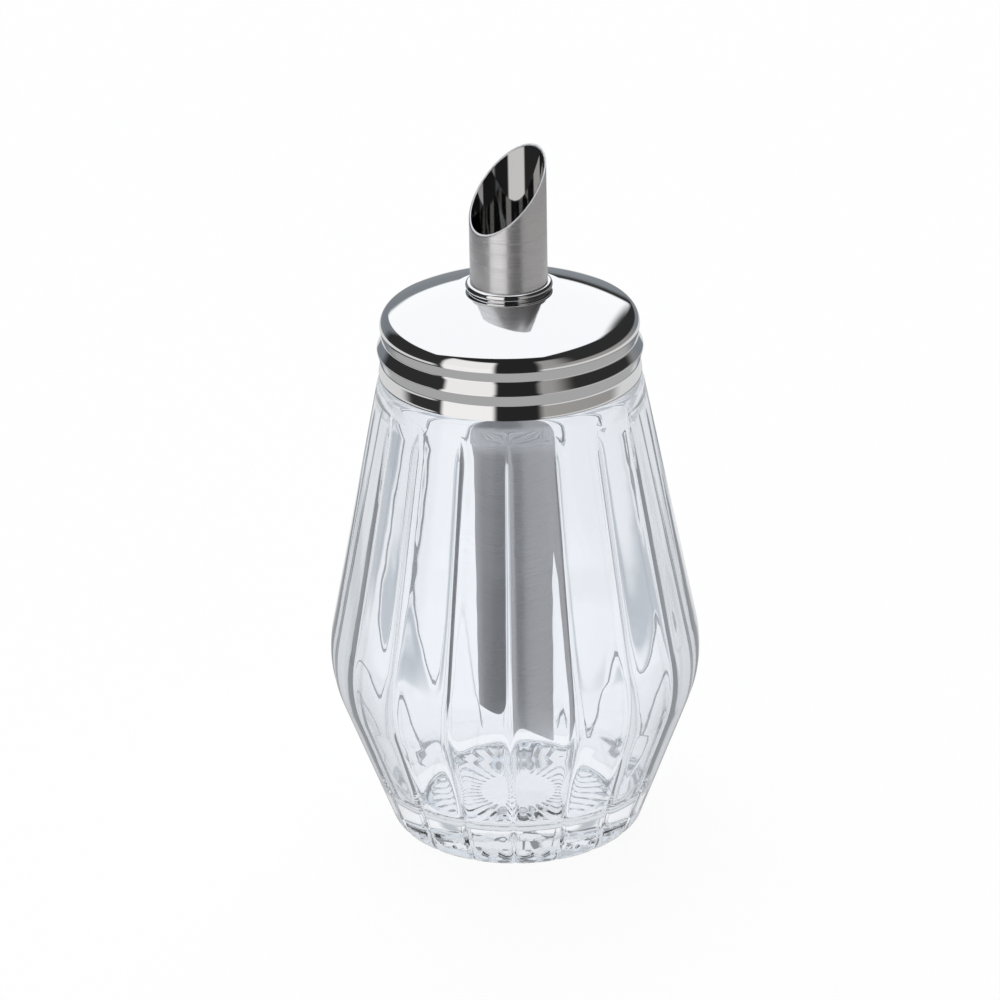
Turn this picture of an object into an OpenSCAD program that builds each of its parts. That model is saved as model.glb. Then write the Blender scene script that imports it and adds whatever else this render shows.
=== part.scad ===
// Sugar dispenser: a lobed glass jar, a domed steel screw lid and a dosing tube
// that runs from the mitred spout down to the jar's floor. A small gravity flap
// swings on a pin inside the tube. Millimetres, +Z up, origin under the jar's centre.

/* [Jar] */
// Height of the glass from the table to its rim
jar_h = 121; // [110:0.5:135]
// Largest radius, over the lobes at the belly
belly_r = 41.6; // [38:0.1:46]
// Height of the belly's widest ring
belly_z = 42.5; // [38:0.5:48]
// Radius of the round belly seen from the side
belly_round = 30; // [20:1:40]
// Radius of the flat foot, over the lobes
foot_r = 25; // [22:0.1:28]
// Rounding between the side and the foot
heel_round = 4; // [2:0.5:6]
// Glass wall at the bottom of a groove
jar_wall = 3.4; // [2:0.1:4]
// Thickness of the heavy floor
floor_t = 10; // [8:0.5:14]
// Rounding of the inner corner at the floor
floor_round = 6; // [4:0.5:12]
// Height of the hollow under the base
punt_h = 2; // [1:0.1:4]
// Width of the standing ring round that hollow
foot_w = 3.5; // [3:0.1:7]

/* [Lobes] */
// Number of lobes round the jar, with a groove between each two
lobes = 18; // [12:1:24]
// Direction of the first groove, in degrees from +X towards +Y
lobe_turn = 8; // [0:1:20]
// Depth of the grooves
groove_depth = 0.55; // [0.3:0.05:1]
// Sharpness of the grooves: a higher power gives flatter lobes and narrower grooves
groove_power = 6; // [2:1:8]
// Distance from the shoulder at which the grooves have run out
groove_end = 2.6; // [2.4:0.1:8]
// Length over which they run out
groove_fade = 8; // [4:1:30]
// Depth of the pressed star's grooves in the hollow base
star_depth = 0.8; // [0.4:0.1:1.2]
// Radius at which those grooves start
star_in_r = 5; // [3:0.5:8]

/* [Neck] */
// Gap between the lid's skirt and the shoulder under it
skirt_gap = 0.6; // [0.4:0.1:2]
// How far the shoulder stands out from the skirt
shoulder_out = 0.5; // [0:0.1:1.5]
// Rounding of that shoulder
shoulder_round = 2.2; // [1:0.1:4]
// Room for the thread between the neck and the lid
thread_gap = 1.1; // [0.8:0.1:1.6]
// Glass wall of the neck
neck_wall = 4; // [3:0.1:5]
// Rounding of the rim
rim_round = 1; // [0.4:0.1:1.6]

/* [Lid] */
// Radius of the lid's upper wall
lid_r = 28.6; // [27:0.1:31]
// How far the plain skirt stands out from that wall
skirt_out = 0.4; // [0.2:0.1:0.8]
// Height of the plain skirt
skirt_h = 4; // [2.5:0.1:6]
// Thickness of the steel sheet
sheet = 0.5; // [0.4:0.05:0.7]
// Rounding between the lid's wall and its dome
lid_round = 3.6; // [2.5:0.1:5]
// Radius of the dome
dome_round = 60; // [50:1:90]
// Width of the flat land beyond the lock ring
land_w = 0.6; // [0.4:0.1:2]
// Number of rolled beads
beads = 2; // [1:1:3]
// Pitch of the beads, which is that of the rolled thread
bead_pitch = 4; // [3.2:0.1:5]
// Straight wall above the top bead and below the lowest one
bead_gap = 0.2; // [0.1:0.1:1]
// Radius of a bead's section
bead_round = 1.7; // [1.4:0.1:2.2]
// How far a bead stands out from the wall
bead_out = 0.7; // [0.4:0.1:0.8]

/* [Seal] */
// Width of the sealing ring between the lid and the rim
seal_w = 5; // [4:0.1:6]
// Thickness of that ring under the lid's shoulder
seal_t = 2.2; // [1.6:0.1:3]
// Width of the washer round the tube, under the lid
washer_w = 2; // [1.5:0.1:2.2]
// Thickness of that washer
washer_t = 0.6; // [0.4:0.1:1.2]

/* [Dosing tube] */
// Outer radius of the tube
tube_r = 8.5; // [7.5:0.1:9.5]
// Wall of the tube
tube_wall = 0.5; // [0.4:0.05:0.8]
// Height of the spout's mitre centre above the lid's land
spout_h = 22.7; // [18:0.1:30]
// Slope of the spout's mitre, in degrees
mouth_cut = 45; // [30:1:50]
// Direction of the spout's long side, in degrees from +X towards +Y
mouth_turn = 40; // [0:1:90]
// Slope of the cut at the lower end, in degrees
foot_cut = 35; // [20:1:45]
// Clearance between the tube's lowest tip and the jar's floor
tip_gap = 6; // [3:0.5:12]

/* [Collar and lock ring] */
// How far the collar stands out from the tube
collar_out = 1.1; // [0.6:0.1:1.6]
// Height of the collar
collar_h = 1.8; // [1:0.1:3]
// Width of the lock ring under the washer
lock_w = 2.5; // [2.4:0.1:4]
// Thickness of the lock ring
lock_t = 0.8; // [0.5:0.1:1.2]
// Number of teeth that grip the tube
lock_teeth = 8; // [6:1:12]
// Depth of the slots between those teeth
lock_slot = 1.2; // [0.6:0.1:1.4]

/* [Flap] */
// Depth of the hinge pin below the lock ring
flap_drop = 8; // [7:0.5:20]
// Slope of the closed flap, in degrees
flap_rest = 30; // [20:1:40]
// Thickness of the flap
flap_t = 0.6; // [0.4:0.1:1]
// Distance of the pin from the tube's centre line, which makes one side heavier
pin_shift = 1.5; // [1:0.1:2]
// Radius of the hinge pin
pin_r = 0.6; // [0.5:0.05:0.8]
// Wall of the knuckle round the pin
knuckle_wall = 0.55; // [0.4:0.05:0.8]

/* [Fits] */
// Gap between curved faces of pieces that move apart
gap = 0.3; // [0.2:0.05:0.5]
// Gap between the flap's edge and the tube
flap_gap = 0.4; // [0.3:0.05:0.6]
// Running clearance of the flap on its pin
pin_clear = 0.05; // [0.02:0.01:0.1]
// Clearance of pieces that are pressed on the tube
seat_clear = 0.02; // [0.01:0.01:0.05]

/* [Hidden] */
$fn = 96;

// Points on the loft of the jar across one lobe
lobe_steps = 6;
ring_points = lobes * lobe_steps;
cut_size = 4 * belly_r;

// The lid, from the rim up: its shoulder, dome and land
lid_c = [lid_r - lid_round, jar_h + seal_t + gap - (lid_round - sheet)];
dome_z = lid_c[1] - sqrt(pow(dome_round - lid_round, 2) - pow(lid_c[0], 2));
dome_a = 90 - asin(lid_c[0] / (dome_round - lid_round));
lock_r = tube_r + lock_w;
land_r = lock_r + land_w;
land_z = dome_z + sqrt(pow(dome_round, 2) - pow(land_r, 2));

// The lid's wall, from the shoulder down: its beads and its skirt
wall_in_r = lid_r - sheet;
bead_c = lid_r + bead_out - bead_round;
bead_h = bead_round * sin(bead_half(0));
bead_top_z = lid_c[1] - bead_gap - bead_h;
skirt_r = lid_r + skirt_out;
skirt_top_z = bead_top_z - (beads - 1) * bead_pitch - bead_h - bead_gap;
lid_z = skirt_top_z - skirt_h;

// The jar's side: a heel arc, a belly arc and a shoulder arc, joined by their tangent cones
neck_r = wall_in_r - thread_gap;
neck_bore_r = neck_r - neck_wall;
shoulder_z = lid_z - skirt_gap;
heel_c = [foot_r, heel_round];
belly_c = [belly_r - belly_round, belly_z];
shoulder_c = [skirt_r + shoulder_out - shoulder_round, shoulder_z - shoulder_round];
lower_a = atan2(heel_c[1] - belly_c[1], heel_c[0] - belly_c[0])
    + acos((belly_round - heel_round) / norm(heel_c - belly_c));
upper_a = atan2(shoulder_c[1] - belly_c[1], shoulder_c[0] - belly_c[0])
    - acos((belly_round - shoulder_round) / norm(shoulder_c - belly_c));
lower_z = belly_z + belly_round * sin(lower_a);
upper_z = belly_z + belly_round * sin(upper_a);
groove_top = shoulder_z - groove_end;

// The inside of the jar, which narrows to the neck's bore at 45 degrees
lobe_wall = jar_wall + groove_depth;
blend_z = shoulder_c[1] - lobe_wall;
blend_r = side_r(blend_z) - lobe_wall;

// The dosing tube, its lock ring and its flap
tube_in_r = tube_r - tube_wall;
mouth_z = land_z + spout_h;
foot_z = floor_t + tip_gap + tube_r * tan(foot_cut);
washer_z = land_z - sheet - washer_t;
lock_z = washer_z - lock_t;
pin_z = lock_z - flap_drop;
flap_r = tube_in_r - flap_gap;
knuckle_r = pin_r + pin_clear + knuckle_wall;
knuckle_half = sqrt(pow(tube_in_r, 2) - pow(pin_shift + knuckle_r, 2)) - flap_gap;
pin_half = sqrt(pow(tube_r, 2) - pow(pin_shift, 2));

// Points [radius, height] on an arc from angle a0 to a1, with n steps
function arc(c, r, a0, a1, n) = [
    for (i = [0:n]) let (a = a0 + (a1 - a0) * i / n) [c[0] + r * cos(a), c[1] + r * sin(a)]
];

function smooth(t) = let (u = min(max(t, 0), 1)) u * u * (3 - 2 * u);

// Heights strictly between z0 and z1, in n equal steps
function between(z0, z1, n) = [for (i = [1:n - 1]) z0 + (z1 - z0) * i / n];

// Radius of the jar's side over the lobes, between the heel and the shoulder
function side_r(z) =
    z < lower_z ? belly_c[0] + belly_round * cos(lower_a) - (z - lower_z) * tan(lower_a) :
    z > upper_z ? belly_c[0] + belly_round * cos(upper_a) - (z - upper_z) * tan(upper_a) :
    belly_c[0] + sqrt(pow(belly_round, 2) - pow(z - belly_z, 2));

// Depth of the grooves at height z, full up to where they run out under the neck
function depth_at(z) = groove_depth * smooth((groove_top - z) / groove_fade);

// Place of a point across its lobe, from groove (-1) to groove (1), closer together at the grooves
function across(j) = sin(90 * (2 * (j % lobe_steps) / lobe_steps - 1));
function lobe_a(j) = lobe_turn + 360 / lobes * (floor(j / lobe_steps) + (across(j) + 1) / 2);

// Outline of the jar's side from the foot to the neck
jar_side = concat(
    arc(heel_c, heel_round, -90, lower_a, 4),
    [for (z = between(heel_c[1] + heel_round * sin(lower_a), lower_z, 4)) [side_r(z), z]],
    arc(belly_c, belly_round, lower_a, upper_a, 8),
    [for (z = between(upper_z, shoulder_c[1] + shoulder_round * sin(upper_a), 10)) [side_r(z), z]],
    arc(shoulder_c, shoulder_round, upper_a, 90, 4)
);

// Lobed outside of the jar, lofted through one ring of points for each point of its outline
module lobed_body() {
    rings = len(jar_side);
    points = [
        for (p = jar_side) for (j = [0:ring_points - 1])
            let (r = p[0] - depth_at(p[1]) * pow(abs(across(j)), groove_power), a = lobe_a(j))
            [r * cos(a), r * sin(a), p[1]]
    ];
    sides = [
        for (i = [0:rings - 2]) for (j = [0:ring_points - 1])
            let (k = (j + 1) % ring_points, lo = i * ring_points, hi = lo + ring_points)
            each [[lo + j, hi + j, hi + k], [lo + j, hi + k, lo + k]]
    ];
    foot = [for (j = [0:ring_points - 1]) j];
    top = [for (j = [ring_points - 1:-1:0]) (rings - 1) * ring_points + j];
    polyhedron(points = points, faces = concat([foot], sides, [top]), convexity = 6);
}

// Neck from inside the shoulder to the rounded rim
module neck() {
    rotate_extrude()
        polygon(concat(
            [[0, blend_z], [neck_r, blend_z]],
            arc([neck_r - rim_round, jar_h - rim_round], rim_round, 0, 90, 4),
            arc([neck_bore_r + rim_round, jar_h - rim_round], rim_round, 90, 180, 4),
            [[neck_bore_r, jar_h - 2 * rim_round], [0, jar_h - 2 * rim_round]]
        ));
}

// Smooth inside of the jar, from the floor to above the rim
module cavity() {
    floor_c = [side_r(floor_t + floor_round) - lobe_wall - floor_round, floor_t + floor_round];
    rotate_extrude()
        polygon(concat(
            [[0, floor_t]],
            arc(floor_c, floor_round, -90, lower_a, 6),
            arc([belly_c[0] - lobe_wall, belly_z], belly_round, lower_a, upper_a, 8),
            [[blend_r, blend_z], [neck_bore_r, blend_z + blend_r - neck_bore_r]],
            [[neck_bore_r, jar_h + 1], [0, jar_h + 1]]
        ));
}

// Hollow under the base, with the grooves of its pressed star
module punt() {
    punt_r = heel_c[0] - foot_w;
    rotate_extrude()
        polygon([[0, -1], [punt_r, -1], [punt_r, 0], [punt_r - punt_h, punt_h], [0, punt_h]]);
    for (i = [0:lobes - 1])
        rotate([0, 0, lobe_turn + 360 * i / lobes])
            translate([star_in_r, 0, punt_h])
                rotate([0, 90, 0])
                    cylinder(h = punt_r - 2 * punt_h - star_in_r, r1 = star_depth / 4, r2 = star_depth, $fn = 24);
}

module jar() {
    color([0.86, 0.9, 0.94, 0.45])
        difference() {
            union() {
                lobed_body();
                neck();
            }
            cavity();
            punt();
        }
}

// Half the angle of a bead's arc, and the angle of the dome's arc where it meets the land
function bead_half(depth) = acos((bead_round - bead_out - depth) / (bead_round - depth));
function land_a(depth) = asin((land_z - dome_z - depth) / (dome_round - depth));

// The lid's section at a depth under its outer face, from the land to the skirt's lower edge
function lid_line(depth, hole) = concat(
    [[hole, land_z - depth]],
    arc([0, dome_z], dome_round - depth, land_a(depth), dome_a, 10),
    arc(lid_c, lid_round - depth, dome_a, 0, 8),
    [for (i = [0:beads - 1])
        each arc([bead_c, bead_top_z - i * bead_pitch], bead_round - depth,
            bead_half(depth), -bead_half(depth), 8)],
    [[lid_r - depth, skirt_top_z], [skirt_r - depth, skirt_top_z - skirt_out]],
    [[skirt_r - depth, lid_z]]
);

function flip(list) = [for (i = [len(list) - 1:-1:0]) list[i]];

module lid() {
    color([0.82, 0.83, 0.85])
        rotate_extrude()
            polygon(concat(
                lid_line(0, tube_r + seat_clear),
                flip(lid_line(sheet, tube_r + seat_clear))
            ));
}

// Ring that follows the underside of the lid and lies on the jar's rim
module sealing_ring() {
    in_r = wall_in_r - gap - seal_w;
    dome_r = dome_round - sheet - gap;
    round_r = lid_round - sheet - gap;
    color([0.93, 0.93, 0.9])
        rotate_extrude()
            polygon(concat(
                [[in_r, jar_h]],
                arc([0, dome_z], dome_r, acos(in_r / dome_r), dome_a, 4),
                arc(lid_c, round_r, dome_a, asin((jar_h - lid_c[1]) / round_r), 8)
            ));
}

// What lies above a plane that slopes up towards the spout's long side
module above_slope(z, slope) {
    rotate([0, 0, mouth_turn])
        translate([0, 0, z])
            rotate([0, -slope, 0])
                translate([-cut_size / 2, -cut_size / 2, 0])
                    cube(cut_size);
}

// What lies below a plane that slopes down towards that side
module below_slope(z, slope) {
    rotate([0, 0, mouth_turn])
        translate([0, 0, z])
            rotate([0, slope, 0])
                translate([-cut_size / 2, -cut_size / 2, -cut_size])
                    cube(cut_size);
}

// Places its children at the flap's pin, with X towards the spout's low lip and Y along the pin
module at_pin() {
    rotate([0, 0, mouth_turn + 180])
        translate([-pin_shift, 0, pin_z])
            children();
}

module dosing_tube() {
    reach = tube_r * tan(mouth_cut) + 1;
    color([0.72, 0.72, 0.72])
        difference() {
            translate([0, 0, floor_t])
                cylinder(h = mouth_z + reach - floor_t, r = tube_r);
            translate([0, 0, floor_t - 1])
                cylinder(h = mouth_z + reach - floor_t + 2, r = tube_in_r);
            above_slope(mouth_z, mouth_cut);
            below_slope(foot_z, foot_cut);
            at_pin()
                rotate([90, 0, 0])
                    cylinder(h = 3 * tube_r, r = pin_r + seat_clear, center = true, $fn = 32);
        }
}

// Rolled ring round the tube on top of the lid
module spout_collar() {
    in_r = tube_r + seat_clear;
    out_r = tube_r + collar_out;
    round_r = collar_out / 2;
    color([0.7, 0.7, 0.7])
        rotate_extrude()
            polygon(concat(
                [[in_r, land_z], [out_r, land_z]],
                arc([out_r - round_r, land_z + collar_h - round_r], round_r, 0, 90, 5),
                [[in_r, land_z + collar_h]]
            ));
}

// Washer that seals the tube's hole from below
module tube_washer() {
    in_r = tube_r + gap;
    color([0.25, 0.25, 0.26])
        translate([0, 0, washer_z])
            linear_extrude(washer_t)
                difference() {
                    circle(r = in_r + washer_w);
                    circle(r = in_r);
                }
}

// Push-on ring under the washer, with teeth round the tube
module lock_ring() {
    in_r = tube_r + seat_clear;
    color([0.6, 0.6, 0.62])
        translate([0, 0, lock_z])
            linear_extrude(lock_t)
                difference() {
                    circle(r = lock_r);
                    circle(r = in_r);
                    for (i = [0:lock_teeth - 1])
                        rotate(360 * i / lock_teeth)
                            translate([0, -lock_slot / 2])
                                square([in_r + lock_slot, lock_slot]);
                }
}

module flap_pin() {
    color([0.6, 0.6, 0.62])
        at_pin()
            rotate([90, 0, 0])
                cylinder(h = 2 * pin_half, r = pin_r, center = true, $fn = 32);
}

// Plate that closes the bore at a slope, with a knuckle on the pin
module flap() {
    color([0.75, 0.75, 0.76])
        difference() {
            union() {
                intersection() {
                    at_pin()
                        rotate([0, -flap_rest, 0])
                            cube([4 * tube_r, 2 * tube_r, flap_t], center = true);
                    translate([0, 0, pin_z - 2 * tube_r])
                        cylinder(h = 4 * tube_r, r = flap_r);
                }
                at_pin()
                    rotate([90, 0, 0])
                        cylinder(h = 2 * knuckle_half, r = knuckle_r, center = true, $fn = 32);
            }
            at_pin()
                rotate([90, 0, 0])
                    cylinder(h = 3 * tube_r, r = pin_r + pin_clear, center = true, $fn = 32);
        }
}

jar();
sealing_ring();
lid();
dosing_tube();
spout_collar();
tube_washer();
lock_ring();
flap_pin();
flap();
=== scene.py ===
import math

import bmesh
import bpy
from mathutils import Matrix, Vector


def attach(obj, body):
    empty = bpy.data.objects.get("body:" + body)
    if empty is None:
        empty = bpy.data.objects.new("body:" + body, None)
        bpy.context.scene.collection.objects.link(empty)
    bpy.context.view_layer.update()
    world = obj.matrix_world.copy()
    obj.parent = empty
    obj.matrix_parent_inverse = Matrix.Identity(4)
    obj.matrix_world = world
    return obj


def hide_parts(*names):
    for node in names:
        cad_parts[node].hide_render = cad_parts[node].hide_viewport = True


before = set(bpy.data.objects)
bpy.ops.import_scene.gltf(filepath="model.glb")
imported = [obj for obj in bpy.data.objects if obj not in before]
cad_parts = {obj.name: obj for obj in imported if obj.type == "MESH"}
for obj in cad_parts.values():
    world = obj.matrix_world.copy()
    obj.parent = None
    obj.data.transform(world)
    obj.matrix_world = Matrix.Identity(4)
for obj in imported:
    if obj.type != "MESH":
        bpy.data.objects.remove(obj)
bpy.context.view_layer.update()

# Sizes are in millimetres and the same as the part's own values
MM = 0.001

# Side of the jar: heel, belly and shoulder are arcs (radius, height of the centre), joined by cones
JAR_H = 121
HEEL_C, HEEL_ROUND = (25, 4), 4
BELLY_C, BELLY_ROUND = (11.6, 42.5), 30
SHOULDER_C, SHOULDER_ROUND = (27.3, 106.45), 2.2
LOWER_A, UPPER_A = math.radians(-20.43), math.radians(11.17)
NECK_R, NECK_BORE_R, RIM_ROUND = 27, 23, 1
NECK_BORE_TOP, NECK_FOOT = 112, 0.6

# Wall, floor and the hollow under it
JAR_WALL, FLOOR_T, FLOOR_ROUND, PUNT_H, FOOT_W = 3.4, 10, 6, 2, 3.5

# Lobes, with sharp grooves between them that end in the heel and fade out under the lid
LOBES, LOBE_TURN, LOBE_STEPS = 18, 8, 20
GROOVE_DEPTH, GROOVE_POWER, GROOVE_END, GROOVE_TOP, GROOVE_FADE = 0.55, 9, 2.6, 106.05, 8

# Rays pressed under the floor, two to a lobe, round a smooth middle
STAR_DEPTH, STAR_IN_R, STAR_FADE_IN, STAR_FADE_OUT = 1.0, 8.5, 3, 1.5

# Right-hand screw thread of the neck
THREAD_Z, THREAD_END, THREAD_PITCH, THREAD_OUT, THREAD_HALF, THREAD_RUN = 112.9, 118.4, 4, 0.5, 1.1, 0.6
THREAD_ZONE = (110, 119.8)

# Lid: a dome with a flat land round the tube, a rounded shoulder and a rolled wall
SHEET, LAND_Z, LID_Z = 0.5, 128.71, 109.25
DOME_Z, DOME_ROUND, DOME_A = 69.84, 60, math.radians(63.7)
LID_C, LID_ROUND = (25.0, 120.4), 3.6
# Height and outer radius along the wall: hem, skirt, rolled ring, groove, shoulder
WALL = ((109.25, 28.98), (109.45, 29.03), (112.3, 28.62), (112.7, 28.64),
        (115.2, 29.4), (117.75, 28.12), (120.1, 28.6), (121, 28.6))
WALL_STEPS, WALL_SOFTENING = 84, (-0.25, -0.12, 0, 0.12, 0.25)

# Dosing tube, cut at a slope at both ends: height of the cut on the axis, and its angle
TUBE_R, TUBE_IN_R, TUBE_BLANK = 8.5, 8, (10, 165)
MOUTH_Z, MOUTH_CUT = 151.41, math.radians(45)
FOOT_Z, FOOT_CUT = 21.95, math.radians(35)
MOUTH_TURN, LIP_ROUND = math.radians(40), 0.12

# Rolled ring at the foot of the spout, measured from the tube's skin and the lid's land
COLLAR_GAP, COLLAR_FOOT, COLLAR_C, COLLAR_ROUND, COLLAR_H = 0.02, 0.6, (0.22, 0.9), 0.88, 1.76


def arc(centre, r, a0, a1, n):
    """Points (radius, height) on an arc between two angles in radians."""
    return [(centre[0] + r * math.cos(a0 + (a1 - a0) * i / n),
             centre[1] + r * math.sin(a0 + (a1 - a0) * i / n)) for i in range(n + 1)]


def line(p, q, n):
    """Points from p to q, without q."""
    return [(p[0] + (q[0] - p[0]) * i / n, p[1] + (q[1] - p[1]) * i / n) for i in range(n)]


def smooth(t):
    """0 below 0, 1 above 1 and a soft step between."""
    u = min(max(t, 0), 1)
    return u * u * (3 - 2 * u)


def side_r(z):
    """Radius of the jar's side over the middles of its lobes."""
    lower_z = BELLY_C[1] + BELLY_ROUND * math.sin(LOWER_A)
    upper_z = BELLY_C[1] + BELLY_ROUND * math.sin(UPPER_A)
    if z < lower_z:
        return BELLY_C[0] + BELLY_ROUND * math.cos(LOWER_A) - (z - lower_z) * math.tan(LOWER_A)
    if z > upper_z:
        return BELLY_C[0] + BELLY_ROUND * math.cos(UPPER_A) - (z - upper_z) * math.tan(UPPER_A)
    return BELLY_C[0] + math.sqrt(BELLY_ROUND ** 2 - (z - BELLY_C[1]) ** 2)


def spun(section, steps, parts, closed=True):
    """A bmesh of a section (radius, height), spun round the Z axis as so many equal parts."""
    bm = bmesh.new()
    verts = [bm.verts.new((r * MM, 0, z * MM)) for r, z in section]
    edges = [bm.edges.new((verts[i], verts[i + 1])) for i in range(len(verts) - 1)]
    if closed:
        edges.append(bm.edges.new((verts[-1], verts[0])))
    angle = 2 * math.pi / parts
    bmesh.ops.spin(bm, geom=verts + edges, cent=(0, 0, 0), axis=(0, 0, 1),
                   steps=steps // parts, angle=angle)
    sector = bm.verts[:] + bm.edges[:] + bm.faces[:]
    for i in range(1, parts):
        copy = bmesh.ops.duplicate(bm, geom=sector)
        bmesh.ops.rotate(bm, verts=[v for v in copy["geom"] if isinstance(v, bmesh.types.BMVert)],
                         cent=(0, 0, 0), matrix=Matrix.Rotation(i * angle, 3, "Z"))
    bmesh.ops.remove_doubles(bm, verts=bm.verts, dist=1e-6)
    return bm


def finish_mesh(name, bm, sharp=40):
    """An object of a bmesh: faces outward and smooth, edges over so many degrees left sharp."""
    bmesh.ops.recalc_face_normals(bm, faces=bm.faces)
    for f in bm.faces:
        f.smooth = True
    for e in bm.edges:
        if len(e.link_faces) == 2 and e.calc_face_angle(0) > math.radians(sharp):
            e.smooth = False
    mesh = bpy.data.meshes.new(name)
    bm.to_mesh(mesh)
    bm.free()
    obj = bpy.data.objects.new(name, mesh)
    bpy.context.scene.collection.objects.link(obj)
    return obj


def jar_section(glass_t, punt_r):
    """Section of the jar, from the hollow under it over the side and rim to the inner floor.
    The last number of each line and arc is its count of steps."""
    hollow_r = punt_r - PUNT_H
    heel = arc(HEEL_C, HEEL_ROUND, -math.pi / 2, LOWER_A, 8)
    belly = arc(BELLY_C, BELLY_ROUND, LOWER_A, UPPER_A, 24)
    shoulder = arc(SHOULDER_C, SHOULDER_ROUND, UPPER_A, math.pi / 2, 10)
    neck_z = shoulder[-1][1] + NECK_FOOT
    outside = (line((0, PUNT_H), (hollow_r, PUNT_H), 20)
               + line((hollow_r, PUNT_H), (punt_r, 0), 3)
               + line((punt_r, 0), heel[0], 4)
               + heel[:-1] + line(heel[-1], belly[0], 22)
               + belly[:-1] + line(belly[-1], shoulder[0], 40)
               + shoulder
               + line((NECK_R + NECK_FOOT / 2, shoulder[-1][1]), (NECK_R, neck_z), 2)
               + line((NECK_R, neck_z), (NECK_R, JAR_H - RIM_ROUND), 44)
               + arc((NECK_R - RIM_ROUND, JAR_H - RIM_ROUND), RIM_ROUND, 0, math.pi / 2, 5)
               + arc((NECK_BORE_R + RIM_ROUND, JAR_H - RIM_ROUND), RIM_ROUND, math.pi / 2, math.pi, 5))
    blend_z = SHOULDER_C[1] - glass_t
    blend_r = side_r(blend_z) - glass_t
    bore_z = blend_z + blend_r - NECK_BORE_R
    belly = arc((BELLY_C[0] - glass_t, BELLY_C[1]), BELLY_ROUND, UPPER_A, LOWER_A, 24)
    floor_z = FLOOR_T + FLOOR_ROUND
    floor_c = (side_r(floor_z) - glass_t - FLOOR_ROUND, floor_z)
    floor = arc(floor_c, FLOOR_ROUND, LOWER_A, -math.pi / 2, 10)
    inside = ([(NECK_BORE_R, NECK_BORE_TOP), (NECK_BORE_R, bore_z + 1),
               (NECK_BORE_R + 0.4, bore_z - 0.4), (blend_r - 0.3, blend_z + 0.4)]
              + line((blend_r, blend_z), belly[0], 20) + belly
              + line(belly[-1], floor[0], 8)[1:] + floor
              + line((floor_c[0], FLOOR_T), (0, FLOOR_T), 4)[1:] + [(0, FLOOR_T)])
    return outside + inside


def thread_out(a, z):
    """How far the neck's thread stands out at an angle and a height."""
    turn = (a / (2 * math.pi)) % 1
    out = 0
    for n in range(2):
        crest = THREAD_Z + THREAD_PITCH * (turn + n)
        near = abs(z - crest) / THREAD_HALF
        if near < 1 and crest < THREAD_END:
            out += (THREAD_OUT * (1 - near * near) * smooth((THREAD_END - crest) / THREAD_RUN)
                    * smooth((crest - THREAD_Z) / THREAD_RUN))
    return out


def make_jar():
    punt_r = HEEL_C[0] - FOOT_W
    hollow_r = punt_r - PUNT_H
    bm = spun(jar_section(JAR_WALL + GROOVE_DEPTH, punt_r), LOBE_STEPS * LOBES, LOBES, closed=False)
    ridge = math.radians(LOBE_TURN)
    half = math.pi / LOBES
    for v in bm.verts:
        x, y, z = (c * 1000 for c in v.co)
        r = math.hypot(x, y)
        if r < 0.01:
            continue
        # u goes from -1 to 1 across a lobe, and its steps are closer at the grooves
        a = math.atan2(y, x) - 1e-9
        k = math.floor(a / (2 * half))
        u = (a - k * 2 * half) / half - 1
        u = 0.6 * math.sin(u * math.pi / 2) + 0.4 * u
        a = ridge + (k + (u + 1) / 2) * 2 * half
        if z > GROOVE_END:
            outline = side_r(z)
        else:
            outline = HEEL_C[0] + math.sqrt(max(HEEL_ROUND ** 2 - (HEEL_ROUND - z) ** 2, 0))
        if z < GROOVE_TOP and r > outline - 1:
            deep = GROOVE_DEPTH * smooth((GROOVE_TOP - z) / GROOVE_FADE)
            r -= deep * abs(u) ** GROOVE_POWER
        if THREAD_ZONE[0] < z < THREAD_ZONE[1] and r > NECK_R - 0.1:
            r += thread_out(a, z)
        if abs(z - PUNT_H) < 0.01 and r < hollow_r + 0.1:
            z += (STAR_DEPTH * abs(2 * abs(u) - 1) * smooth((r - STAR_IN_R) / STAR_FADE_IN)
                  * smooth((hollow_r - r) / STAR_FADE_OUT))
        v.co = (r * math.cos(a) * MM, r * math.sin(a) * MM, z * MM)
    return finish_mesh("jar_glass", bm, 50)


def wall_r(z):
    """Outer radius of the lid's wall, with its corners softened over 0.5 mm."""
    total = 0
    for d in WALL_SOFTENING:
        h = min(max(z + d, WALL[0][0]), WALL[-1][0])
        for (z0, r0), (z1, r1) in zip(WALL, WALL[1:]):
            if z0 <= h <= z1:
                total += (r0 + (r1 - r0) * (h - z0) / (z1 - z0)) / len(WALL_SOFTENING)
                break
    return total


def lid_section(depth):
    """Section of the lid at a depth under its outer face, from the tube's hole to the hem."""
    dome_r = DOME_ROUND - depth
    land_a = math.asin((LAND_Z - DOME_Z - depth) / dome_r)
    land = (dome_r * math.cos(land_a), LAND_Z - depth)
    wall = [LID_C[1] - (LID_C[1] - LID_Z) * i / WALL_STEPS for i in range(WALL_STEPS + 1)]
    return (line((TUBE_R, LAND_Z - depth), land, 2)
            + arc((0, DOME_Z), dome_r, land_a, DOME_A, 24)[:-1]
            + arc(LID_C, LID_ROUND - depth, DOME_A, 0, 14)[:-1]
            + [(wall_r(z) - depth, z) for z in wall])


def make_lid():
    return finish_mesh("lid_shell", spun(lid_section(0) + lid_section(SHEET)[::-1], 256, 16))


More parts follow.
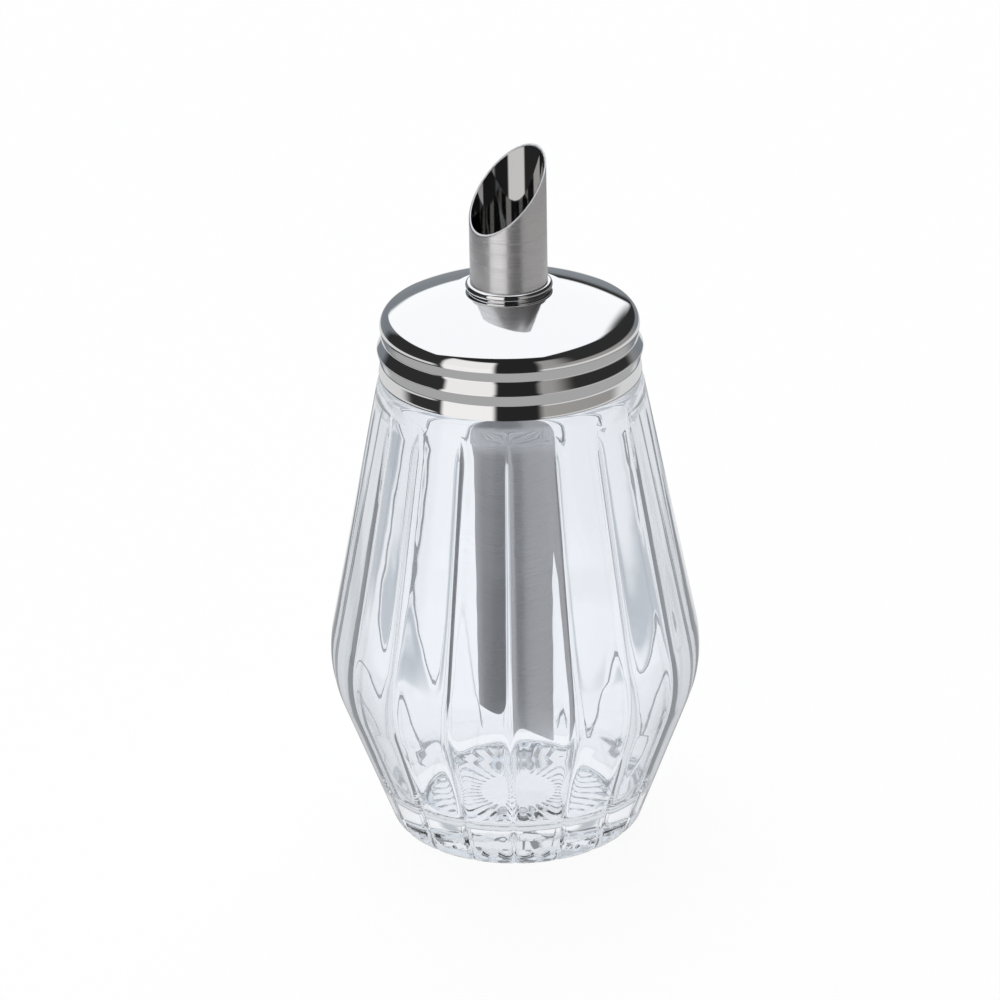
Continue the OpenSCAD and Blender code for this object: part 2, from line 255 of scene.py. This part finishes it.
def make_tube():
    """Tube cut off at the mouth and the foot; its inner faces take the second material."""
    low, high = TUBE_BLANK
    bm = spun([(TUBE_IN_R, low), (TUBE_R, low), (TUBE_R, high), (TUBE_IN_R, high)], 192, 4)
    turn = Matrix.Rotation(MOUTH_TURN, 3, "Z")
    mouth = turn @ Vector((-math.sin(MOUTH_CUT), 0, math.cos(MOUTH_CUT)))
    foot = turn @ Vector((-math.sin(FOOT_CUT), 0, -math.cos(FOOT_CUT)))
    for z, normal in ((MOUTH_Z, mouth), (FOOT_Z, foot)):
        cut = bmesh.ops.bisect_plane(bm, geom=bm.verts[:] + bm.edges[:] + bm.faces[:], dist=1e-7,
                                     plane_co=(0, 0, z * MM), plane_no=normal, clear_outer=True)
        rim = [e for e in cut["geom_cut"] if isinstance(e, bmesh.types.BMEdge)]
        bmesh.ops.bridge_loops(bm, edges=rim)
        bmesh.ops.bevel(bm, geom=[e for e in rim if e.is_valid], offset=LIP_ROUND * MM,
                        offset_type="OFFSET", segments=2, profile=0.5, affect="EDGES", material=-1)
    for f in bm.faces:
        c = f.calc_center_median()
        f.material_index = 1 if math.hypot(c.x, c.y) < (TUBE_IN_R + 0.05) * MM else 0
    return finish_mesh("dosing_tube_steel", bm)


def make_collar():
    inner_r, centre = TUBE_R + COLLAR_GAP, (TUBE_R + COLLAR_C[0], LAND_Z + COLLAR_C[1])
    section = ([(inner_r, LAND_Z), (TUBE_R + COLLAR_FOOT, LAND_Z)]
               + arc(centre, COLLAR_ROUND, -1.1, math.pi / 2, 14)
               + [(inner_r, LAND_Z + COLLAR_H)])
    return finish_mesh("spout_collar_steel", spun(section, 160, 8))


def linear(colour):
    """Linear RGBA from an sRGB hex value."""
    rgb = [int(colour[i:i + 2], 16) / 255 for i in (1, 3, 5)]
    return [c / 12.92 if c <= 0.04045 else ((c + 0.055) / 1.055) ** 2.4 for c in rgb] + [1]


def grey(v, tint=0.0):
    """A grey of linear value v, a little warm or, below 0, a little blue."""
    return (v * (1 + tint), v, v * (1 - tint), 1)


def add(tree, kind, inputs=None, **settings):
    """Adds a node. An input is a value, or the output or the node that feeds it."""
    node = tree.nodes.new(kind)
    for key, value in settings.items():
        setattr(node, key, value)
    for key, value in (inputs or {}).items():
        if isinstance(value, bpy.types.Node):
            value = value.outputs[0]
        if isinstance(value, bpy.types.NodeSocket):
            tree.links.new(value, node.inputs[key])
        else:
            node.inputs[key].default_value = value
    return node


def new_material(name):
    mat = bpy.data.materials.new(name)
    mat.use_nodes = True
    mat.node_tree.nodes.clear()
    return mat, mat.node_tree


def repeats(*sizes):
    """Scale of a pattern from the size of one repeat in millimetres, along X, Y and Z."""
    return [1000 / mm for mm in sizes]


def pressed_glass():
    """Soda glass from a fire-polished mould: clear, with faint waves about 9 mm long that bend
    what is seen through it, and a hard, even gloss."""
    mat, t = new_material("clear_pressed_soda_glass")
    place = add(t, "ShaderNodeTexCoord").outputs["Object"]
    wave = add(t, "ShaderNodeTexNoise", {"Vector": place, "Scale": repeats(100 / 11)[0], "Detail": 1.0})
    bump = add(t, "ShaderNodeBump", {"Height": wave, "Strength": 0.25, "Distance": 0.0002})
    # A render follows four reflections inside the glass. Past them the glass gives off a painted grey
    # glow, the grey of the room, in place of the light that goes on; without it black lines would show
    # along the sides.
    path = add(t, "ShaderNodeLightPath")
    painted_glow = add(t, "ShaderNodeMath", {0: path.outputs["Glossy Depth"], 1: 3.5},
                    operation="GREATER_THAN")
    shader = add(t, "ShaderNodeBsdfPrincipled", {
        "Base Color": linear("#F8FAFD"), "Roughness": 0.0, "IOR": 1.52, "Transmission Weight": 1.0,
        "Emission Color": grey(0.14, -0.05), "Emission Strength": painted_glow, "Normal": bump})
    mat.cycles.emission_sampling = "NONE"
    add(t, "ShaderNodeOutputMaterial", {"Surface": shader})
    return mat


def worked_steel(name, colour, rough, pattern, strength):
    """Steel whose gloss and skin vary along a pattern that its working left in it, in millimetres
    along X, Y and Z."""
    mat, t = new_material(name)
    place = add(t, "ShaderNodeTexCoord").outputs["Object"]
    lines = add(t, "ShaderNodeMapping", {"Vector": place, "Scale": repeats(*pattern)})
    grain = add(t, "ShaderNodeTexNoise", {"Vector": lines, "Scale": 1.0, "Detail": 3.0})
    gloss = add(t, "ShaderNodeMapRange", {"Value": grain, "To Min": rough * 0.8, "To Max": rough * 1.2})
    bump = add(t, "ShaderNodeBump", {"Height": grain, "Strength": strength, "Distance": 0.00002})
    shader = add(t, "ShaderNodeBsdfPrincipled", {
        "Base Color": linear(colour), "Metallic": 1.0, "Roughness": gloss, "Normal": bump})
    add(t, "ShaderNodeOutputMaterial", {"Surface": shader})
    return mat


def satin_steel(name, colour, pattern):
    """Steel brushed round its axis: lines finer than a pixel, part of them bright and part of
    them matt, which show as a soft gloss with a sharper one inside it."""
    mat, t = new_material(name)
    place = add(t, "ShaderNodeTexCoord").outputs["Object"]
    lines = add(t, "ShaderNodeMapping", {"Vector": place, "Scale": repeats(*pattern)})
    grain = add(t, "ShaderNodeTexNoise", {"Vector": lines, "Scale": 1.0, "Detail": 1.0})
    gloss = add(t, "ShaderNodeMapRange", {
        "Value": grain, "From Min": 0.4, "From Max": 0.6, "To Min": 0.16, "To Max": 0.70})
    shader = add(t, "ShaderNodeBsdfPrincipled", {
        "Base Color": linear(colour), "Metallic": 1.0, "Roughness": gloss})
    add(t, "ShaderNodeOutputMaterial", {"Surface": shader})
    return mat


def moulded(name, dark, light, rough, cloud, strength):
    """A moulded plastic or rubber: a slightly cloudy colour and a fine, dull skin."""
    mat, t = new_material(name)
    place = add(t, "ShaderNodeTexCoord").outputs["Object"]
    clouds = add(t, "ShaderNodeTexNoise", {"Vector": place, "Scale": repeats(cloud)[0], "Detail": 4.0})
    colour = add(t, "ShaderNodeMixRGB", {0: clouds, 1: linear(dark), 2: linear(light)})
    gloss = add(t, "ShaderNodeMapRange", {"Value": clouds, "To Min": rough - 0.08, "To Max": rough + 0.08})
    bump = add(t, "ShaderNodeBump", {"Height": clouds, "Strength": strength, "Distance": 0.00005})
    shader = add(t, "ShaderNodeBsdfPrincipled", {"Base Color": colour, "Roughness": gloss, "Normal": bump})
    add(t, "ShaderNodeOutputMaterial", {"Surface": shader})
    return mat


WHITE = (1, 1, 1, 1)
# Grey of painted bars that only rays through glass see, drawn as thin lines in the glass
PAINTED_BAR_TONE = grey(0.55, -0.05)

# What stands round the table, as linear tones by compass direction in degrees from the camera
# (right is +): dark cards, a bright window to the camera's left, a grey wall to its right. The camera sees
# white in their place: in the world and the card they only light the object and give its painted
# reflections.
ROUND_THE_TABLE = ((-180, 0.26, -0.08), (-138, 0.22, -0.10), (-128, 0.03, 0), (-62, 0.03, 0),
                   (-58, 0.95, 0.02), (-16, 0.95, 0.02), (-12, 0.02, 0), (22, 0.02, 0),
                   (28, 0.34, 0.04), (118, 0.30, 0.04), (140, 0.22, -0.10), (180, 0.26, -0.08))

# Straight edges of the soft box, each a plane through the object: its normal and where it starts
SOFT_BOX = (((-0.92, 0.22, 0.38), 0), ((0.63, 0.014, 0.78), 0), ((0.0, 0.966, 0.26), 0),
            ((0.0, 0.0, 1.0), 0.16))


def zone(t, *edges):
    """1 inside a zone and 0 outside. Each edge is a value, where it begins and where it is full."""
    inside = 1.0
    for value, begins, full in edges:
        edge = add(t, "ShaderNodeMapRange", {"Value": value, "From Min": begins, "From Max": full},
                   interpolation_type="SMOOTHSTEP")
        inside = add(t, "ShaderNodeMath", {0: inside, 1: edge}, operation="MULTIPLY")
    return inside


def painted(t, colour, *zones):
    """A colour with tones laid over it in turn, each where its zone is 1."""
    for inside, tone in zones:
        colour = add(t, "ShaderNodeMixRGB", {0: inside, 1: colour, 2: tone})
    return colour


def compass(t, xyz):
    """Angle in radians round the object, 0 towards the camera's place and + to the right."""
    front = add(t, "ShaderNodeMath", {0: xyz.outputs["Y"], 1: -1.0}, operation="MULTIPLY")
    return add(t, "ShaderNodeMath", {0: xyz.outputs["X"], 1: front}, operation="ARCTAN2")


def surroundings(t, angle):
    """Tone of the cards and walls round the table, which light the object and give its painted reflections
    but are not seen by the camera.
    """
    turn = add(t, "ShaderNodeMapRange", {"Value": angle, "From Min": -math.pi, "From Max": math.pi})
    node = add(t, "ShaderNodeValToRGB", {0: turn})
    elements = node.color_ramp.elements
    while len(elements) < len(ROUND_THE_TABLE):
        elements.new(0.5)
    for element, (deg, value, tint) in zip(elements, ROUND_THE_TABLE):
        element.position = (deg + 180) / 360
        element.color = grey(value, tint)
    return node


def light_path(t):
    """Three masks: the background seen straight, also through clear glass, and not mirrored by
    metal or by the glass's skin; any ray that went through glass; one that is still in the jar."""
    path = add(t, "ShaderNodeLightPath")
    clear = add(t, "ShaderNodeMath", {
        0: path.outputs["Is Camera Ray"], 1: path.outputs["Is Transmission Ray"]}, operation="MAXIMUM")
    unmirrored = add(t, "ShaderNodeMath", {0: path.outputs["Glossy Depth"], 1: 0.5}, operation="LESS_THAN")
    straight = add(t, "ShaderNodeMath", {0: clear, 1: unmirrored}, operation="MULTIPLY")
    depth = path.outputs["Transmission Depth"]
    in_glass = add(t, "ShaderNodeMath", {0: depth, 1: 0.5}, operation="GREATER_THAN")
    on_the_way = add(t, "ShaderNodeMath", {0: depth, 1: 3.5}, operation="LESS_THAN")
    return straight, in_glass, on_the_way


def backdrop(t, angle, in_glass, *edges):
    """Plain white, with painted soft grey bars every 45 degrees that only glass shows: the grooves
    bend them into view as thin painted lines."""
    off = add(t, "ShaderNodeMath", {0: angle, 1: math.pi / 8}, operation="PINGPONG")
    bars = zone(t, (off, math.radians(17), math.radians(21)), *edges)
    bars = add(t, "ShaderNodeMath", {0: bars, 1: in_glass}, operation="MULTIPLY")
    return painted(t, WHITE, (bars, PAINTED_BAR_TONE))


def white_card_painted_reflections():
    """Matt white card, which shows white round the object and a weak shadow under it. To every other
    ray it gives off painted tones: metal and the glass's skin show them as painted reflections of a table
    between cards and a window."""
    mat, t = new_material("white_card_painted_reflections")
    place = add(t, "ShaderNodeTexCoord").outputs["Object"]
    angle = compass(t, add(t, "ShaderNodeSeparateXYZ", {0: place}))
    off = add(t, "ShaderNodeMath", {0: angle}, operation="ABSOLUTE")
    far = add(t, "ShaderNodeVectorMath", {0: place}, operation="LENGTH").outputs["Value"]
    straight, in_glass, on_the_way = light_path(t)
    # Painted reflections: the card near the jar, then the table, with a paler ring that only the spout
    # mirrors
    near = painted(t, grey(0.41), (zone(t, (off, math.radians(135), math.radians(160))), grey(0.85)))
    ring = (far, 0.27, 0.30), (far, 0.56, 0.48)
    table = painted(
        t, surroundings(t, angle),
        (zone(t, (angle, math.radians(-62), math.radians(-72)), *ring), grey(0.70)),
        (zone(t, (angle, math.radians(22), math.radians(30)), *ring), grey(0.70)))
    mirrored = painted(t, near, (zone(t, (far, 0.20, 0.24)), table))
    # Painted reflection for the tube where it is seen through the jar: dark in front, grey to the right
    painted_tube_reflection = painted(
        t, grey(0.10),
        (zone(t, (angle, math.radians(15), math.radians(30))), grey(0.45, 0.02)),
        (zone(t, (off, math.radians(95), math.radians(140))), grey(0.4)),
        (zone(t, (far, 0.03, 0.022)), grey(0.9)),
        (zone(t, (far, 0.26, 0.32)), grey(0.75)),
        (on_the_way, grey(0.75, -0.03)))
    mirrored = painted(t, mirrored, (in_glass, painted_tube_reflection),
                       (straight, backdrop(t, angle, in_glass, (far, 0.05, 0.09))))
    # It gives off the painted reflections, and white where it is seen straight
    light = add(t, "ShaderNodeEmission", {"Color": mirrored, "Strength": 1.06})
    card = add(t, "ShaderNodeBsdfDiffuse", {"Color": linear("#FCFCFC")})
    # The card takes the object's shadow by the share of plain matt white in it
    matt = add(t, "ShaderNodeMath", {0: straight, 1: -0.12}, operation="MULTIPLY")
    share = add(t, "ShaderNodeMath", {0: matt, 1: 1.0}, operation="ADD")
    shader = add(t, "ShaderNodeMixShader", {0: share, 1: card, 2: light})
    add(t, "ShaderNodeOutputMaterial", {"Surface": shader})
    return mat


def make_world():
    """Large soft box overhead and behind, dark cards in front, white where it is seen straight."""
    world = bpy.data.worlds.new("studio")
    bpy.context.scene.world = world
    world.use_nodes = True
    t = world.node_tree
    t.nodes.clear()
    place = add(t, "ShaderNodeTexCoord").outputs["Generated"]
    xyz = add(t, "ShaderNodeSeparateXYZ", {0: place})
    angle, up = compass(t, xyz), xyz.outputs["Z"]
    straight, in_glass, _ = light_path(t)
    sides = []
    for normal, start in SOFT_BOX:
        side = add(t, "ShaderNodeVectorMath", {0: place, 1: normal}, operation="DOT_PRODUCT")
        sides.append((side.outputs["Value"], start - 0.02, start + 0.02))
    mirrored = painted(
        t, grey(0.02),
        (zone(t, (up, 0.72, 0.62)), surroundings(t, angle)),
        (zone(t, (angle, math.radians(35), math.radians(60)), (up, 0.02, 0.12)), grey(0.03)),
        (zone(t, *sides), grey(1.12, -0.015)))
    # Painted reflection: what is mirrored in or through the glass is mostly a pale grey, in place of the
    # cards and soft box
    pale = add(t, "ShaderNodeMath", {0: in_glass, 1: 0.75}, operation="MULTIPLY")
    colour = painted(t, mirrored, (pale, grey(0.8, -0.03)), (straight, backdrop(t, angle, in_glass)))
    light = add(t, "ShaderNodeBackground", {"Color": colour, "Strength": 1.0})
    add(t, "ShaderNodeOutputWorld", {"Surface": light})


def make_camera():
    """Camera of the photograph, as fitted to its ellipses and outlines."""
    target, distance = Vector((-0.00283, 0, 0.07789)), 1.06469
    elevation, roll = math.radians(24.02), math.radians(1.06)
    back = Vector((0, -math.cos(elevation), math.sin(elevation)))
    right, up = Vector((1, 0, 0)), Vector((0, math.sin(elevation), math.cos(elevation)))
    right, up = (right * math.cos(roll) - up * math.sin(roll),
                 up * math.cos(roll) + right * math.sin(roll))
    data = bpy.data.cameras.new("photo_view")
    data.sensor_width, data.lens = 36, 171.9
    data.clip_start, data.clip_end = 0.01, 100
    cam = bpy.data.objects.new("photo_view", data)
    turn = Matrix((right, up, back)).transposed().to_4x4()
    cam.matrix_world = Matrix.Translation(target + back * distance) @ turn
    bpy.context.scene.collection.objects.link(cam)
    bpy.context.scene.camera = cam


def make_floor():
    bm = bmesh.new()
    bmesh.ops.create_grid(bm, x_segments=1, y_segments=1, size=6)
    floor = finish_mesh("floor", bm)
    floor.data.materials.append(white_card_painted_reflections())


glass = pressed_glass()
# Stainless sheet polished on a wheel: a mirror, with soft waves 17 mm long in its bands
polished = worked_steel("polished_stainless_steel", "#ECECED", 0.04, (50 / 3, 50 / 3, 50 / 3), 0.1)
# Drawn stainless tube, brushed round its axis with lines 1/60 mm wide: a satin sheen
satin = satin_steel("drawn_stainless_steel", "#EAEAEC", (200 / 3, 200 / 3, 1 / 60))
# Inside of the drawn tube: darker and bright, with lines 3 mm apart and 50 mm long
bore = worked_steel("drawn_bore_of_the_tube", "#BEBEBE", 0.05, (10 / 3, 10 / 3, 50), 0.05)

carried = {
    # Moulded polyethylene ring: milky white with a waxy sheen, its clouds 1.4 mm wide
    "sealing_ring": moulded("milky_polyethylene", "#E9EAE6", "#F3F3EF", 0.38, 10 / 7, 0.25),
    # Punched rubber washer: nearly black and matt, with a grain of 0.4 mm
    "tube_washer": moulded("matt_black_rubber", "#1B1B1C", "#2A2A2B", 0.75, 0.4, 0.6),
    # Stamped spring steel: a dull grey with mottles of 1.1 mm from the press
    "lock_ring": worked_steel("stamped_spring_steel", "#9C9DA1", 0.28, (10 / 9, 10 / 9, 10 / 9), 0.3),
    # Drawn wire: a half-bright grey with soft marks of 5 mm
    "flap_pin": worked_steel("drawn_spring_steel_wire", "#A6A7AA", 0.2, (5, 5, 5), 0.2),
    # Rolled sheet: half bright, with rolling lines a third of a millimetre apart
    "flap": worked_steel("rolled_stainless_sheet", "#C4C5C7", 0.18, (1 / 3, 50 / 3, 50 / 3), 0.25)}

for obj, body, node, mats, slot in (
        (make_jar(), "jar", "jar", [glass], "glass"),
        (make_lid(), "lid", "lid", [polished], "polished_steel"),
        (make_tube(), "lid", "dosing_tube", [satin, bore], "satin_steel"),
        (make_collar(), "lid", "spout_collar", [polished], "satin_steel")):
    for mat in mats:
        obj.data.materials.append(mat)
    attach(obj, body)
    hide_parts(node)
for node, mat in carried.items():
    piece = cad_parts[node]
    piece.data.materials.clear()
    piece.data.materials.append(mat)

bpy.context.scene.view_settings.view_transform = "Standard"
make_world()
make_floor()
make_camera()
